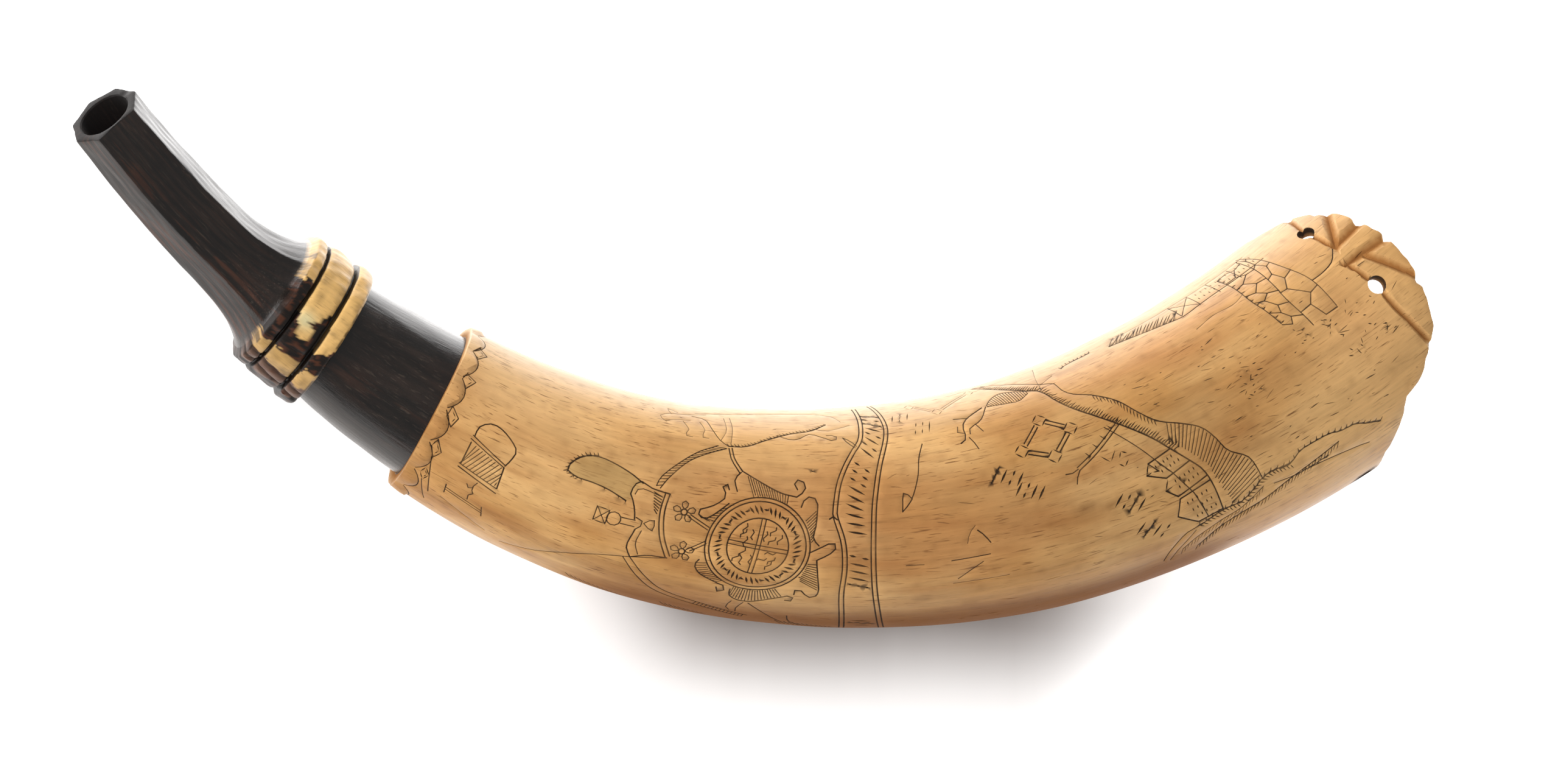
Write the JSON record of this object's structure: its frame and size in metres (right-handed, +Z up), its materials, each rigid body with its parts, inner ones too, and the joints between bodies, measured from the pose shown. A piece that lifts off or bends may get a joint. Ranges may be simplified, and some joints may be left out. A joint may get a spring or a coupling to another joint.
{
  "type": "powder horn",
  "caption": "Engraved powder horn: a curved cream horn with a faceted dark spout, turned rings, a scalloped collar and a carved fan at its open butt.",
  "frame": {"origin": "centre of the bounding box in x and y, at the floor that the horn lies on", "axes": "+X from the spout towards the butt along the chord of the curve, +Z up; the engraved side looks up"},
  "size_m": [0.3208, 0.1156, 0.0593],
  "materials": {
    "horn": "polished cattle horn, cream with a dark spout and neck"
  },
  "bodies": {
    "root": {"horn": "horn"}
  },
  "joints": []
}
